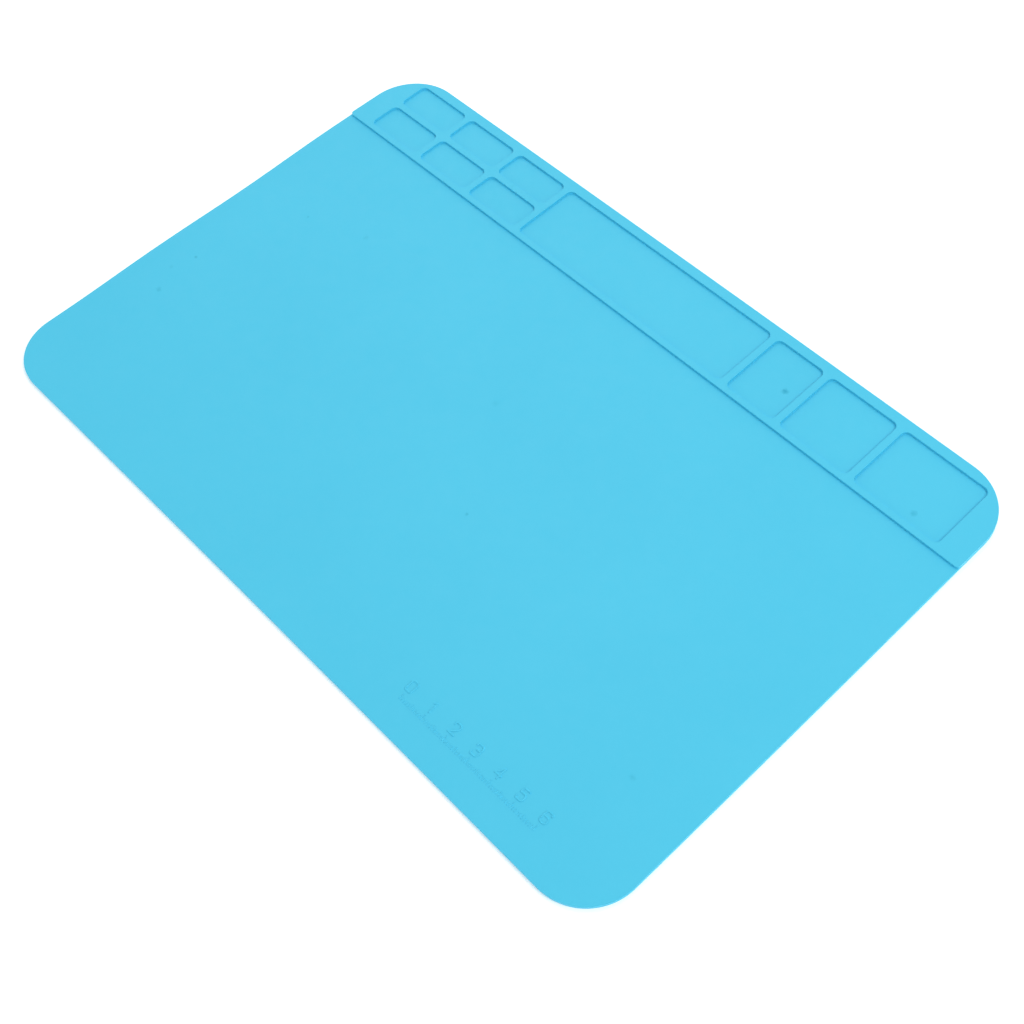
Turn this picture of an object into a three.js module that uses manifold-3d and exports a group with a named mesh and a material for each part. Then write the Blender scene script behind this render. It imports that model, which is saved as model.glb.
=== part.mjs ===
// A silicone soldering mat, moulded in one piece: a thin rectangular working sheet with round
// corners and, along its back edge, a thicker strip with ten shallow compartments sunk into it.
// Millimetres, +Z up. X runs along the mat, Y to the back. The origin is under the mat's middle,
// in the plane that it lies on.

import * as THREE from "three";
import { mergeVertices } from "three/addons/utils/BufferGeometryUtils.js";
import Module from "manifold-3d";

// Overall sizes
const matLength = 300;
const matWidth = 200;
const cornerRadius = 20;
const sheetThickness = 2;
const edgeRounding = 0.2;

// The strip along the back edge
const stripDepth = 34.4;
const stripRise = 1;
const stripEndRadius = 1.6;

// The compartments, from left to right
const compartmentDepth = 1;
const compartmentCornerRadius = 2.3;
const floorFillet = 0.1;
const endBorder = 10.25;
const backBorder = 4.1;
const frontBorder = 2.3;
const rib = 2.7;
const rowRib = 2.6;
const smallColumns = 3;
const smallRows = 2;
const smallLength = 25.25;
const plainLengths = [21.4, 29.5, 35.3];

// Steps around a quarter turn
const cornerSteps = 16;
const smallCornerSteps = 5;
const roundingSteps = 3;

// How far a cutter stands out of the face that it cuts
const cutterOvershoot = 1;

const stripThickness = sheetThickness + stripRise;
const compartmentFloor = stripThickness - compartmentDepth;
const back = matWidth / 2;
const front = -back;
const right = matLength / 2;
const left = -right;

const siliconeBlue = new THREE.MeshStandardMaterial({
  color: new THREE.Color().setRGB(0.36, 0.79, 0.92, THREE.SRGBColorSpace),
  roughness: 0.62,
  metalness: 0,
});

const wasm = await Module();
wasm.setup();

// The points of a quarter turn about (x, y), starting at the angle `from`, in quarter turns.
function cornerArc(x, y, radius, from, steps) {
  return Array.from({ length: steps + 1 }, (_, i) => {
    const angle = (from + i / steps) * (Math.PI / 2);
    return new THREE.Vector2(x + radius * Math.cos(angle), y + radius * Math.sin(angle));
  });
}

// A rectangle with its back and its front corners rounded, as a closed outline.
function roundedOutline({ x0, x1, y0, y1, backRadius, frontRadius, backSteps, frontSteps }) {
  return new THREE.Shape([
    ...cornerArc(x1 - backRadius, y1 - backRadius, backRadius, 0, backSteps),
    ...cornerArc(x0 + backRadius, y1 - backRadius, backRadius, 1, backSteps),
    ...cornerArc(x0 + frontRadius, y0 + frontRadius, frontRadius, 2, frontSteps),
    ...cornerArc(x1 - frontRadius, y0 + frontRadius, frontRadius, 3, frontSteps),
  ]);
}

// A solid of the outline from the height `bottom` to `top`, with its rims rounded.
function roundedSlab(outline, bottom, top, rounding) {
  const geometry = new THREE.ExtrudeGeometry(outline, {
    depth: top - bottom - 2 * rounding,
    bevelEnabled: true,
    bevelThickness: rounding,
    bevelSize: rounding,
    bevelOffset: -rounding,
    bevelSegments: roundingSteps,
    steps: 1,
  });
  geometry.translate(0, 0, bottom + rounding);
  return solidOf(geometry);
}

function solidOf(geometry) {
  geometry.deleteAttribute("normal");
  geometry.deleteAttribute("uv");
  const merged = mergeVertices(geometry);
  return new wasm.Manifold(
    new wasm.Mesh({
      numProp: 3,
      vertProperties: merged.getAttribute("position").array,
      triVerts: new Uint32Array(merged.getIndex().array),
    }),
  );
}

function geometryOf(solid) {
  const { vertProperties, triVerts } = solid.getMesh();
  const geometry = new THREE.BufferGeometry();
  geometry.setAttribute("position", new THREE.BufferAttribute(vertProperties, 3));
  geometry.setIndex(new THREE.BufferAttribute(triVerts, 1));
  geometry.computeVertexNormals();
  return geometry;
}

function workingSheet() {
  const outline = roundedOutline({
    x0: left,
    x1: right,
    y0: front,
    y1: back,
    backRadius: cornerRadius,
    frontRadius: cornerRadius,
    backSteps: cornerSteps,
    frontSteps: cornerSteps,
  });
  return roundedSlab(outline, 0, sheetThickness, edgeRounding);
}

// The strip shares the sheet's back corners, and turns in to the sheet with small ones.
function trayStrip() {
  const outline = roundedOutline({
    x0: left,
    x1: right,
    y0: back - stripDepth,
    y1: back,
    backRadius: cornerRadius,
    frontRadius: stripEndRadius,
    backSteps: cornerSteps,
    frontSteps: smallCornerSteps,
  });
  return roundedSlab(outline, 0, stripThickness, edgeRounding);
}

// The compartments' sides: a block of small ones in two rows, a long one that takes up what is
// left of the strip's length, and a row of plain ones.
function compartmentLayout() {
  const y0 = back - stripDepth + frontBorder;
  const y1 = back - backBorder;
  const smallDepth = (y1 - y0 - (smallRows - 1) * rowRib) / smallRows;
  const layout = [];
  let x = left + endBorder;
  for (let column = 0; column < smallColumns; column += 1) {
    for (let row = 0; row < smallRows; row += 1) {
      const rowFront = y0 + row * (smallDepth + rowRib);
      layout.push({ x0: x, x1: x + smallLength, y0: rowFront, y1: rowFront + smallDepth });
    }
    x += smallLength + rib;
  }
  const plainTotal = plainLengths.reduce((sum, length) => sum + length + rib, 0);
  const longLength = right - endBorder - plainTotal - x;
  for (const length of [longLength, ...plainLengths]) {
    layout.push({ x0: x, x1: x + length, y0, y1 });
    x += length + rib;
  }
  return layout;
}

// What is taken out for one compartment: its floor meets its walls in a small fillet.
function compartmentCutter(sides) {
  const outline = roundedOutline({
    ...sides,
    backRadius: compartmentCornerRadius,
    frontRadius: compartmentCornerRadius,
    backSteps: smallCornerSteps,
    frontSteps: smallCornerSteps,
  });
  return roundedSlab(outline, compartmentFloor, stripThickness + cutterOvershoot, floorFillet);
}

function matSolid() {
  const moulding = workingSheet().add(trayStrip());
  return compartmentLayout()
    .map(compartmentCutter)
    .reduce((solid, cutter) => solid.subtract(cutter), moulding);
}

const mat = new THREE.Mesh(geometryOf(matSolid()), siliconeBlue);
mat.name = "mat";

const solderingMat = new THREE.Group();
solderingMat.add(mat);

export default solderingMat;
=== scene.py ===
"""A silicone soldering mat: the finished moulding, its matte rubber, a pale studio and the camera."""

import math

import bmesh
import bpy
from mathutils import Matrix, Vector


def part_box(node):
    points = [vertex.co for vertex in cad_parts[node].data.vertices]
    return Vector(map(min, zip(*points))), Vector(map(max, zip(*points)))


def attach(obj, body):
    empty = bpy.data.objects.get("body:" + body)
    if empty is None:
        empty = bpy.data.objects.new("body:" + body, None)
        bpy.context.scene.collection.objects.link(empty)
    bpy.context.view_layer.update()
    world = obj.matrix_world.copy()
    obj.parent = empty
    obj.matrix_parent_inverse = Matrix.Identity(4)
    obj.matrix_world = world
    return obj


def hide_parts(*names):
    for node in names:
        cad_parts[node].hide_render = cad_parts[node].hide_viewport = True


MM = 0.001

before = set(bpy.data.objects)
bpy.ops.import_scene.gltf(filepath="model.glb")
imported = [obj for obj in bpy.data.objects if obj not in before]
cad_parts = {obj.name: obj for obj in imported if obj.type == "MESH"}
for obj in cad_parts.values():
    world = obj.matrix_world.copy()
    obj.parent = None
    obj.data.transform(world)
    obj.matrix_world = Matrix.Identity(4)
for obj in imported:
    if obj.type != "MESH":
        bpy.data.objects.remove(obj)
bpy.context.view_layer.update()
low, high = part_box("mat")

# The outline and the two levels of the moulding
SHEET_TOP = 2.0 * MM
STRIP_TOP = high.z
STRIP_DEPTH = 34.4 * MM
CORNER_RADIUS = 20 * MM
STRIP_END_RADIUS = 1.6 * MM
UPPER_RIM_ROUNDING = 0.10 * MM
LOWER_RIM_ROUNDING = 0.60 * MM

# The compartments, from left to right
END_BORDER = 10.25 * MM
BACK_BORDER = 4.1 * MM
FRONT_BORDER = 2.3 * MM
RIB = 2.7 * MM
ROW_RIB = 2.6 * MM
SMALL_COLUMNS = 3
SMALL_ROWS = 2
SMALL_LENGTH = 25.25 * MM
PLAIN_LENGTHS = [21.4 * MM, 29.5 * MM, 35.3 * MM]
COMPARTMENT_DEPTH = 1.0 * MM
COMPARTMENT_CORNER_RADIUS = 2.3 * MM
FLOOR_FILLET = 0.06 * MM
MOUTH_ROUNDING = 0.08 * MM
WALL_DRAFT = 0.02 * MM
CUTTER_OVERSHOOT = 0.5 * MM

# The raised scale near the front edge: plain millimetre ticks and a number at each centimetre
SCALE_START = Vector((57.0, -89.3)) * MM
TICK_SPACING = 1 * MM
LAST_TICK = 60
TICKS_PER_NUMBER = 10
LONG_TICK = 2.3 * MM
TICK_LENGTHS = [(TICKS_PER_NUMBER, LONG_TICK), (5, 1.8 * MM), (1, 1.2 * MM)]
TICK_RADIUS = 0.22 * MM
TICK_RISE = 0.17 * MM
NUMBER_GAP = 1.2 * MM
NUMBER_WIDTH = 2.5 * MM
NUMBER_HEIGHT = 4.0 * MM
NUMBER_RADIUS = 0.36 * MM
NUMBER_RISE = 0.24 * MM
BEND_RADIUS = 1.1 * MM
STROKE_OVERLAP = 0.15 * MM

# The strokes of each number, in a box of one by one
STROKES = {
    0: [[(0.5, 0), (1, 0), (1, 1), (0, 1), (0, 0), (0.5, 0)]],
    1: [[(0.2, 0.8), (0.55, 1), (0.55, 0)]],
    2: [[(0, 0.75), (0, 1), (1, 1), (1, 0.55), (0, 0)], [(0, 0), (1, 0)]],
    3: [
        [(0, 0.8), (0, 1), (1, 1), (1, 0.52), (0.4, 0.52)],
        [(0.5, 0.56), (1, 0.56), (1, 0), (0, 0), (0, 0.22)],
    ],
    4: [[(0.75, 0), (0.75, 1)], [(0.75, 1), (0, 0.3)], [(0, 0.3), (1, 0.3)]],
    5: [
        [(0.95, 1), (0.1, 1)],
        [(0.1, 1), (0.05, 0.6)],
        [(0.05, 0.6), (1, 0.65), (1, 0), (0, 0), (0, 0.2)],
    ],
    6: [[(0.95, 0.85), (0.95, 1), (0, 1), (0, 0), (1, 0), (1, 0.58), (0.03, 0.58)]],
}

# How far the soft mat strays from straight edges as it lies, all inside the frame's box
BOW = 0.45 * MM
RIGHT_BULGE = 0.35 * MM
LEFT_WAVE = 0.27 * MM
LEFT_WAVE_LENGTH = 82 * MM
LEFT_WAVE_CREST = -30 * MM

# How finely the curves are divided
CORNER_STEPS = 40
SMALL_CORNER_STEPS = 10
BEND_STEPS = 6
RIDGE_RESOLUTION = 3
ROUNDING_STEPS = 5
SIDE_STEP = 10 * MM
SMALLEST_RADIUS = 0.01 * MM
SMOOTH_UNDER = math.radians(40)
FLAT_FACE_WEIGHT = 100
SAME_PLACE = 0.0005 * MM

# Dark specks in the surface: x, y and the reach of each in millimetres, and how dark its middle is
SPECKS = [
    (64.4, 80.7, 1.7, 0.85),
    (126.8, 72.3, 1.7, 0.45),
    (-95.3, 27.0, 1.6, 0.22),
    (-119.6, 18.5, 0.8, 0.40),
    (-3.7, 8.3, 1.9, 0.14),
    (22.5, -29.2, 0.9, 0.50),
    (-134.8, -23.4, 0.9, 0.60),
    (-132.1, -42.7, 1.6, 0.38),
    (126.1, -56.8, 1.6, 0.28),
    (-137.7, -32.6, 1.4, 0.16),
]

# Colours, as linear red, green and blue
RUBBER = (0.063, 0.562, 0.806, 1)
RUBBER_LIGHTER = (0.069, 0.580, 0.824, 1)
SPECK = (0.008, 0.360, 0.550, 1)
FLOOR = (0.93, 0.93, 0.93, 1)
HORIZON = (1.0, 1.0, 1.0, 1)
CEILING = (0.37, 0.37, 0.37, 1)

# The rubber's surface: how finely each pattern repeats, and how strongly it shows
CLOUDS_PER_METRE = 18
MOTTLE_PER_METRE = 700
CLOUDS_SHARE = 0.7
GLOSS_PER_METRE = 260
SMOOTHEST = 0.50
ROUGHEST = 0.60
GRAIN_PER_METRE = 3200
GRAIN_STRENGTH = 0.35
GRAIN_RELIEF = 0.02 * MM
PULL_PER_METRE = 45
PULL_STRENGTH = 0.5
PULL_RELIEF = 0.15 * MM
RAGGEDNESS_PER_METRE = 900
NOISE_LOW = 0.3
NOISE_HIGH = 0.7
RUBBER_IOR = 1.42

# The colour sockets of a Mix node, which other kinds of socket share their names with
COLOUR_A = 6
COLOUR_B = 7
MIXED_COLOUR = 2

# The studio, in metres: the floor's own glow grows away from the mat, and keeps the far floor white
FLOOR_REACH = 12
FLOOR_ROUGHNESS = 0.9
FLOOR_GLOW_NEAR = 0.3
FLOOR_GLOW_FAR = 1.2
GLOW_RISES_FROM = 0.3
GLOW_RISES_TO = 1.2

# How high the pale walls reach and where the ceiling starts, as the sine of the angle upwards
WALL_TOP = 0.30
CEILING_START = 0.60

# The soft lights: name, place, width and power
SOFTBOXES = [
    ("right", (1.10, 0.26, 1.45), 0.9, 13),
    ("back_left", (-0.75, 0.65, 1.35), 1.6, 10),
]

# The camera, as azimuth and elevation round the point that it looks at
CAMERA_AZIMUTH = math.radians(51.02)
CAMERA_ELEVATION = math.radians(57.52)
CAMERA_ROLL = math.radians(-5.82)
CAMERA_DISTANCE = 504.7 * MM
CAMERA_TARGET = Vector((39.5, -9.8, 0.0)) * MM
IMAGE_SIZE = 1024
FOCAL_PIXELS = 1527
AXIS_PIXEL_X = 545
SENSOR_WIDTH = 36
NEAREST_SEEN = 0.01
FARTHEST_SEEN = 100

length = high.x - low.x
width = high.y - low.y
strip_front = high.y - STRIP_DEPTH
compartment_floor = STRIP_TOP - COMPARTMENT_DEPTH


def add_object(name, data):
    made = bpy.data.objects.new(name, data)
    bpy.context.scene.collection.objects.link(made)
    return made


def quarter_turn(centre, radius, first_quarter, steps):
    """The points of a quarter circle, counter-clockwise."""
    points = []
    for i in range(steps + 1):
        angle = (first_quarter + i / steps) * math.pi / 2
        points.append(centre + radius * Vector((math.cos(angle), math.sin(angle))))
    return points


def rounded_ring(sides, back_radius, front_radius, steps, inset):
    """A rectangle with round corners, drawn in by inset, with as many points at every inset."""
    x0, x1, y0, y1 = sides
    across = max(1, round((x1 - x0) / SIDE_STEP))
    along = max(1, round((y1 - y0) / SIDE_STEP))
    back = max(back_radius - inset, SMALLEST_RADIUS)
    front = max(front_radius - inset, SMALLEST_RADIUS)
    x0, x1, y0, y1 = x0 + inset, x1 - inset, y0 + inset, y1 - inset
    corners = [
        quarter_turn(Vector((x1 - back, y1 - back)), back, 0, steps),
        quarter_turn(Vector((x0 + back, y1 - back)), back, 1, steps),
        quarter_turn(Vector((x0 + front, y0 + front)), front, 2, steps),
        quarter_turn(Vector((x1 - front, y0 + front)), front, 3, steps),
    ]
    ring = []
    for i, (corner, pieces) in enumerate(zip(corners, [across, along, across, along])):
        start, end = corner[-1], corners[(i + 1) % len(corners)][0]
        ring += corner
        ring += [start.lerp(end, k / pieces) for k in range(1, pieces)]
    return ring


def arc_profile(radius, inset, height, start, end):
    """Points (inset, height) of an arc about a centre: 0 degrees faces out, 90 degrees up."""
    points = []
    for i in range(ROUNDING_STEPS + 1):
        angle = math.radians(start + (end - start) * i / ROUNDING_STEPS)
        points.append((inset - radius * math.cos(angle), height + radius * math.sin(angle)))
    return points


def object_from(name, built):
    mesh = bpy.data.meshes.new(name)
    built.to_mesh(mesh)
    built.free()
    return add_object(name, mesh)


def ringed_solid(name, ring_at, profile):
    """A closed solid whose rings follow profile, a list of (inset, height) from the bottom up."""
    built = bmesh.new()
    rings = []
    for inset, height in profile:
        rings.append([built.verts.new((p.x, p.y, height)) for p in ring_at(inset)])
    for below, above in zip(rings, rings[1:]):
        for i in range(len(below)):
            j = (i + 1) % len(below)
            built.faces.new((below[i], below[j], above[j], above[i]))
    built.faces.new(reversed(rings[0]))
    built.faces.new(rings[-1])
    return object_from(name, built)


def plate(name, sides, back_radius, front_radius, top):
    """A plate lying on the floor, with its lower and its upper edge rounded."""
    profile = arc_profile(LOWER_RIM_ROUNDING, LOWER_RIM_ROUNDING, LOWER_RIM_ROUNDING, -90, 0)
    profile += arc_profile(UPPER_RIM_ROUNDING, UPPER_RIM_ROUNDING, top - UPPER_RIM_ROUNDING, 0, 90)

    def ring_at(inset):
        return rounded_ring(sides, back_radius, front_radius, CORNER_STEPS, inset)

    return ringed_solid(name, ring_at, profile)


def working_sheet():
    sides = (low.x, high.x, low.y, high.y)
    return plate("working_sheet", sides, CORNER_RADIUS, CORNER_RADIUS, SHEET_TOP)


def tray_strip():
    sides = (low.x, high.x, strip_front, high.y)
    return plate("tray_strip", sides, CORNER_RADIUS, STRIP_END_RADIUS, STRIP_TOP)


def compartment_layout():
    """The sides of each compartment: small ones in two rows, a long one and a row of plain ones."""
    y0 = strip_front + FRONT_BORDER
    y1 = high.y - BACK_BORDER
    small_depth = (y1 - y0 - (SMALL_ROWS - 1) * ROW_RIB) / SMALL_ROWS
    layout = []
    x = low.x + END_BORDER
    for _ in range(SMALL_COLUMNS):
        for row in range(SMALL_ROWS):
            row_front = y0 + row * (small_depth + ROW_RIB)
            layout.append((x, x + SMALL_LENGTH, row_front, row_front + small_depth))
        x += SMALL_LENGTH + RIB
    plain_total = sum(plain + RIB for plain in PLAIN_LENGTHS)
    long_length = high.x - END_BORDER - plain_total - x
    for across in [long_length, *PLAIN_LENGTHS]:
        layout.append((x, x + across, y0, y1))
        x += across + RIB
    return layout


def compartment_cutter(sides):
    """What one compartment takes out: filleted at its floor and flared at its mouth."""
    fillet_inset = WALL_DRAFT + FLOOR_FILLET
    profile = arc_profile(FLOOR_FILLET, fillet_inset, compartment_floor + FLOOR_FILLET, -90, 0)
    mouth = arc_profile(MOUTH_ROUNDING, -MOUTH_ROUNDING, STRIP_TOP - MOUTH_ROUNDING, 180, 90)
    profile += mouth
    profile.append((mouth[-1][0], STRIP_TOP + CUTTER_OVERSHOOT))

    def ring_at(inset):
        radius = COMPARTMENT_CORNER_RADIUS
        return rounded_ring(sides, radius, radius, SMALL_CORNER_STEPS, inset)

    return ringed_solid("compartment", ring_at, profile)


def joined(name, pieces):
    """One object that holds the meshes of all the pieces, which are removed."""
    built = bmesh.new()
    for piece in pieces:
        built.from_mesh(piece.data)
    for piece in pieces:
        remove_with_mesh(piece)
    return object_from(name, built)


def remove_with_mesh(piece):
    data = piece.data
    bpy.data.objects.remove(piece)
    bpy.data.meshes.remove(data)


def bend(before, corner, after):
    """The points that lead round one corner of a stroke, in an arc where there is room for it."""
    reach = min(BEND_RADIUS, (before - corner).length / 2, (after - corner).length / 2)
    start = corner + (before - corner).normalized() * reach
    end = corner + (after - corner).normalized() * reach
    points = []
    for i in range(BEND_STEPS + 1):
        t = i / BEND_STEPS
        points.append(start.lerp(corner, t).lerp(corner.lerp(end, t), t))
    return points


def stroke(corners):
    """The line of a stroke: round its corners, and past its ends unless it closes on itself."""
    start, end = corners[0], corners[-1]
    if not is_closed(corners):
        start = start + (start - corners[1]).normalized() * STROKE_OVERLAP
        end = end + (end - corners[-2]).normalized() * STROKE_OVERLAP
    line = [start]
    for before, corner, after in zip(corners, corners[1:], corners[2:]):
        line += bend(before, corner, after)
    return [*line, end]


def is_closed(line):
    return (line[0] - line[-1]).length < SAME_PLACE


def ridge(line, radius, rise):
    """A round ridge along a line, which stands up by rise and is rooted in the sheet."""
    curve = bpy.data.curves.new("ridge", "CURVE")
    curve.dimensions = "3D"
    curve.twist_mode = "Z_UP"
    curve.bevel_depth = radius
    curve.bevel_resolution = RIDGE_RESOLUTION
    curve.use_fill_caps = True
    spline = curve.splines.new("POLY")
    points = line[:-1] if is_closed(line) else line
    spline.use_cyclic_u = is_closed(line)
    spline.points.add(len(points) - 1)
    height = SHEET_TOP + rise - radius
    for place, point in zip(spline.points, points):
        place.co = (point.x, point.y, height, 1)
    made = add_object("ridge_curve", curve)
    evaluated = made.evaluated_get(bpy.context.evaluated_depsgraph_get())
    mesh = bpy.data.meshes.new_from_object(evaluated)
    bpy.data.objects.remove(made)
    bpy.data.curves.remove(curve)
    return add_object("ridge", mesh)


def tick(x, tick_length):
    line = [Vector((x, SCALE_START.y)), Vector((x, SCALE_START.y + tick_length))]
    return ridge(line, TICK_RADIUS, TICK_RISE)


def number(x, value):
    """The strokes of one number, standing over the long tick at x."""
    left = x - NUMBER_WIDTH / 2
    foot = SCALE_START.y + LONG_TICK + NUMBER_GAP
    ridges = []
    for corners in STROKES[value]:
        placed = [Vector((left + u * NUMBER_WIDTH, foot + v * NUMBER_HEIGHT)) for u, v in corners]
        ridges.append(ridge(stroke(placed), NUMBER_RADIUS, NUMBER_RISE))
    return ridges


def raised_scale():
    marks = []
    for i in range(LAST_TICK + 1):
        x = SCALE_START.x + i * TICK_SPACING
        tick_length = next(long for every, long in TICK_LENGTHS if i % every == 0)
        marks.append(tick(x, tick_length))
        if i % TICKS_PER_NUMBER == 0:
            marks += number(x, i // TICKS_PER_NUMBER)
    return joined("raised_scale", marks)


def combine(piece, operation, other):
    """Changes piece by a boolean with other, whose shapes may overlap, and which is removed."""
    step = piece.modifiers.new(operation, "BOOLEAN")
    step.operation = operation
    step.solver = "EXACT"
    step.use_self = True
    step.object = other
    evaluated = piece.evaluated_get(bpy.context.evaluated_depsgraph_get())
    result = bpy.data.meshes.new_from_object(evaluated)
    piece.modifiers.clear()
    old = piece.data
    piece.data = result
    bpy.data.meshes.remove(old)
    remove_with_mesh(other)


def lie_softly(mesh):
    """Lets the straight edges bow and wave a little, as a soft mat's do, with all heights kept."""
    for vertex in mesh.vertices:
        x, y = vertex.co.x, vertex.co.y
        along, across = 2 * x / length, 2 * y / width
        wave = 1 - math.cos(2 * math.pi * (y - LEFT_WAVE_CREST) / LEFT_WAVE_LENGTH)
        if along < 0:
            vertex.co.x = x + LEFT_WAVE * wave * along ** 2
        else:
            vertex.co.x = x - RIGHT_BULGE * across ** 2 * along ** 2
        vertex.co.y = y * (1 - BOW / width) + BOW * (0.5 - along ** 2)


def smooth_but_for_edges(piece):
    """Rounded stretches shade smooth, and flat faces stay flat up to their rims."""
    mesh = piece.data
    mesh.polygons.foreach_set("use_smooth", [True] * len(mesh.polygons))
    mesh.set_sharp_from_angle(angle=SMOOTH_UNDER)
    step = piece.modifiers.new("flat_faces_lead", "WEIGHTED_NORMAL")
    step.keep_sharp = True
    step.weight = FLAT_FACE_WEIGHT


def moulding():
    """The whole mat, as one closed mesh."""
    mat = working_sheet()
    mat.name = "soldering_mat"
    combine(mat, "UNION", tray_strip())
    cutters = joined("compartments", [compartment_cutter(s) for s in compartment_layout()])
    combine(mat, "DIFFERENCE", cutters)
    combine(mat, "UNION", raised_scale())
    lie_softly(mat.data)
    smooth_but_for_edges(mat)
    return mat


def add_node(tree, kind, inputs=None, **settings):
    """A node with its settings, and its inputs by name or number: a value, or a socket to link."""
    node = tree.nodes.new(kind)
    for name, value in settings.items():
        setattr(node, name, value)
    for key, value in (inputs or {}).items():
        if isinstance(value, bpy.types.NodeSocket):
            tree.links.new(value, node.inputs[key])
        else:
            node.inputs[key].default_value = value
    return node


def noise(tree, place, per_metre, detail=2, roughness=0.5):
    inputs = {"Vector": place, "Scale": per_metre, "Detail": detail, "Roughness": roughness}
    return add_node(tree, "ShaderNodeTexNoise", inputs).outputs["Fac"]


def remapped(tree, value, from_low, from_high, to_low, to_high, kind="LINEAR"):
    inputs = {"Value": value, 1: from_low, 2: from_high, 3: to_low, 4: to_high}
    node = add_node(tree, "ShaderNodeMapRange", inputs, interpolation_type=kind)
    return node.outputs["Result"]


def maths(tree, operation, *values):
    return add_node(tree, "ShaderNodeMath", dict(enumerate(values)), operation=operation).outputs[0]


def mixed(tree, factor, a, b):
    inputs = {"Factor": factor, COLOUR_A: a, COLOUR_B: b}
    return add_node(tree, "ShaderNodeMix", inputs, data_type="RGBA").outputs[MIXED_COLOUR]


def bump(tree, height, strength, relief, **more):
    inputs = {"Strength": strength, "Distance": relief, "Height": height, **more}
    return add_node(tree, "ShaderNodeBump", inputs).outputs["Normal"]


def speck_mask(tree, place):
    """How dark the surface is for its specks: 0 away from them."""
    ragged = noise(tree, place, RAGGEDNESS_PER_METRE)
    mask = 0.0
    for x, y, radius, strength in SPECKS:
        middle = Vector((x * MM, y * MM, SHEET_TOP))
        inputs = {0: place, 1: middle}
        away = add_node(tree, "ShaderNodeVectorMath", inputs, operation="DISTANCE").outputs["Value"]
        uneven = maths(tree, "MULTIPLY_ADD", ragged, radius * MM, -radius * MM / 2)
        reach = maths(tree, "ADD", away, uneven)
        dark = remapped(tree, reach, 0, radius * MM, strength, 0, "SMOOTHSTEP")
        mask = maths(tree, "MAXIMUM", dark, mask)
    return mask


def silicone():
    """Matte moulded silicone: a fine grain, faint clouding of the colour, and a few dark specks."""
    material = bpy.data.materials.new("silicone")
    material.use_nodes = True
    tree = material.node_tree
    shader = tree.nodes["Principled BSDF"]
    place = add_node(tree, "ShaderNodeTexCoord").outputs["Object"]

    clouds = noise(tree, place, CLOUDS_PER_METRE, detail=3)
    clouds = remapped(tree, clouds, NOISE_LOW, NOISE_HIGH, 0, CLOUDS_SHARE)
    mottle = noise(tree, place, MOTTLE_PER_METRE, detail=3, roughness=0.6)
    mottle = remapped(tree, mottle, NOISE_LOW, NOISE_HIGH, 0, 1 - CLOUDS_SHARE)
    colour = mixed(tree, maths(tree, "ADD", clouds, mottle), RUBBER, RUBBER_LIGHTER)
    colour = mixed(tree, speck_mask(tree, place), colour, SPECK)
    tree.links.new(colour, shader.inputs["Base Color"])

    gloss = noise(tree, place, GLOSS_PER_METRE, detail=4, roughness=0.6)
    gloss = remapped(tree, gloss, NOISE_LOW, NOISE_HIGH, SMOOTHEST, ROUGHEST)
    tree.links.new(gloss, shader.inputs["Roughness"])
    shader.inputs["IOR"].default_value = RUBBER_IOR

    grain = noise(tree, place, GRAIN_PER_METRE, detail=3, roughness=0.6)
    grained = bump(tree, grain, GRAIN_STRENGTH, GRAIN_RELIEF)
    pull = noise(tree, place, PULL_PER_METRE)
    pulled = bump(tree, pull, PULL_STRENGTH, PULL_RELIEF, Normal=grained)
    tree.links.new(pulled, shader.inputs["Normal"])
    return material


def finish_mat():
    mat = moulding()
    mat.data.materials.clear()
    mat.data.materials.append(silicone())
    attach(mat, "root")
    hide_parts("mat")


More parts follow.
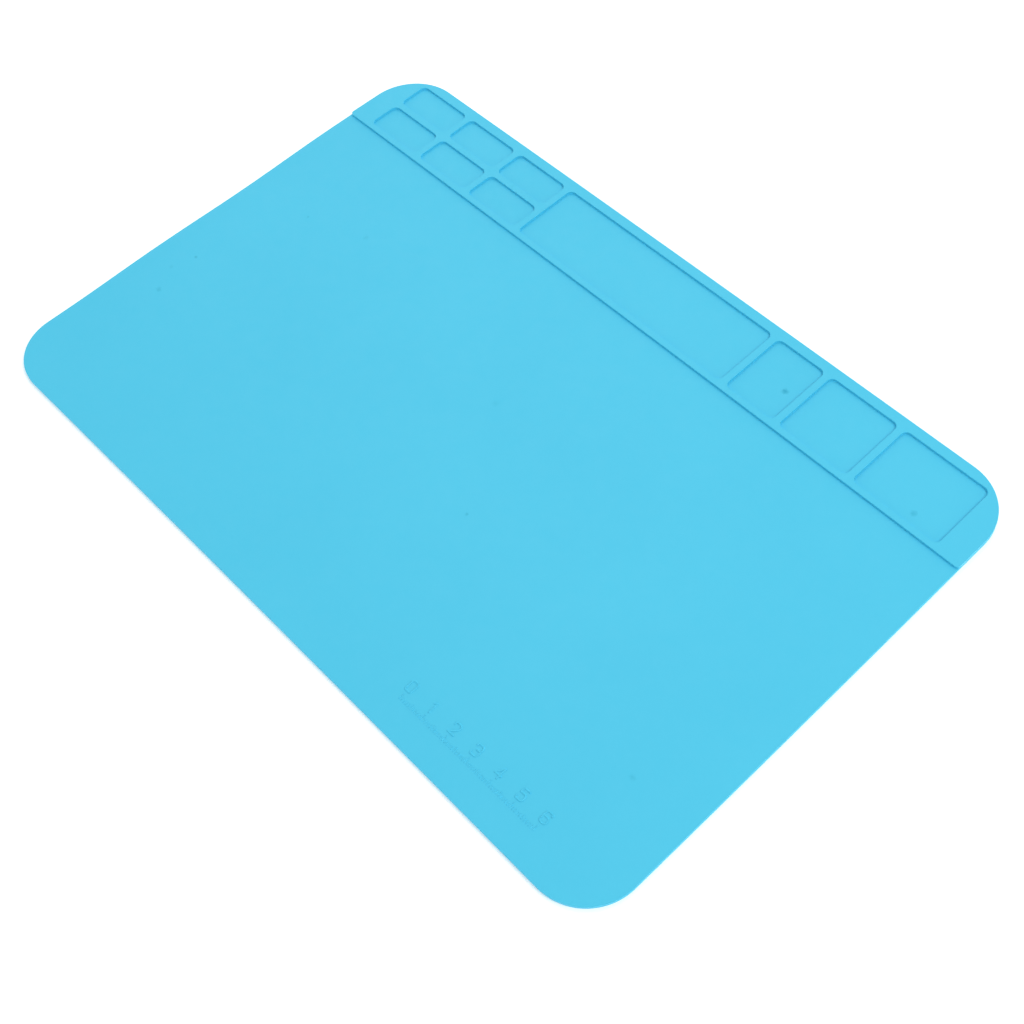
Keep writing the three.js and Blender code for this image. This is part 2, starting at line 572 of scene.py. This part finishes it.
def studio_floor():
    reach = FLOOR_REACH
    mesh = bpy.data.meshes.new("floor")
    corners = [(-reach, -reach, 0), (reach, -reach, 0), (reach, reach, 0), (-reach, reach, 0)]
    mesh.from_pydata(corners, [], [(0, 1, 2, 3)])
    floor = add_object("floor", mesh)
    material = bpy.data.materials.new("pale_floor")
    material.use_nodes = True
    tree = material.node_tree
    shader = tree.nodes["Principled BSDF"]
    shader.inputs["Base Color"].default_value = FLOOR
    shader.inputs["Roughness"].default_value = FLOOR_ROUGHNESS
    shader.inputs["Specular IOR Level"].default_value = 0
    shader.inputs["Emission Color"].default_value = FLOOR
    place = add_node(tree, "ShaderNodeTexCoord").outputs["Object"]
    away = add_node(tree, "ShaderNodeVectorMath", {0: place}, operation="LENGTH").outputs["Value"]
    glow = remapped(tree, away, GLOW_RISES_FROM, GLOW_RISES_TO, FLOOR_GLOW_NEAR, FLOOR_GLOW_FAR)
    tree.links.new(glow, shader.inputs["Emission Strength"])
    mesh.materials.append(material)


def studio_world():
    """Pale walls all round, and a softer glow overhead."""
    world = bpy.data.worlds.new("studio")
    bpy.context.scene.world = world
    world.use_nodes = True
    tree = world.node_tree
    place = add_node(tree, "ShaderNodeTexCoord").outputs["Generated"]
    up = add_node(tree, "ShaderNodeSeparateXYZ", {0: place}).outputs["Z"]
    share = remapped(tree, up, WALL_TOP, CEILING_START, 0, 1, "SMOOTHSTEP")
    glow = mixed(tree, share, HORIZON, CEILING)
    tree.links.new(glow, tree.nodes["Background"].inputs["Color"])


def softbox(name, place, size, power):
    light = bpy.data.lights.new(name, "AREA")
    light.shape = "DISK"
    light.size = size
    light.energy = power
    made = add_object(name, light)
    made.location = place
    made.rotation_mode = "QUATERNION"
    made.rotation_quaternion = (-Vector(place)).to_track_quat("-Z", "Y")


def camera():
    azimuth, elevation = CAMERA_AZIMUTH, CAMERA_ELEVATION
    back = Vector((
        math.sin(azimuth) * math.cos(elevation),
        -math.cos(azimuth) * math.cos(elevation),
        math.sin(elevation),
    ))
    level_right = Vector((math.cos(azimuth), math.sin(azimuth), 0))
    level_up = back.cross(level_right)
    right = level_right * math.cos(CAMERA_ROLL) + level_up * math.sin(CAMERA_ROLL)
    up = back.cross(right)
    data = bpy.data.cameras.new("camera")
    data.sensor_width = SENSOR_WIDTH
    data.lens = FOCAL_PIXELS / IMAGE_SIZE * SENSOR_WIDTH
    data.shift_x = (IMAGE_SIZE / 2 - AXIS_PIXEL_X) / IMAGE_SIZE
    data.clip_start = NEAREST_SEEN
    data.clip_end = FARTHEST_SEEN
    made = add_object("camera", data)
    turn = Matrix((right, up, back)).transposed()
    made.matrix_world = Matrix.Translation(CAMERA_TARGET + back * CAMERA_DISTANCE) @ turn.to_4x4()
    bpy.context.scene.camera = made


finish_mat()
studio_floor()
studio_world()
for softbox_values in SOFTBOXES:
    softbox(*softbox_values)
camera()
bpy.context.scene.view_settings.view_transform = "Standard"
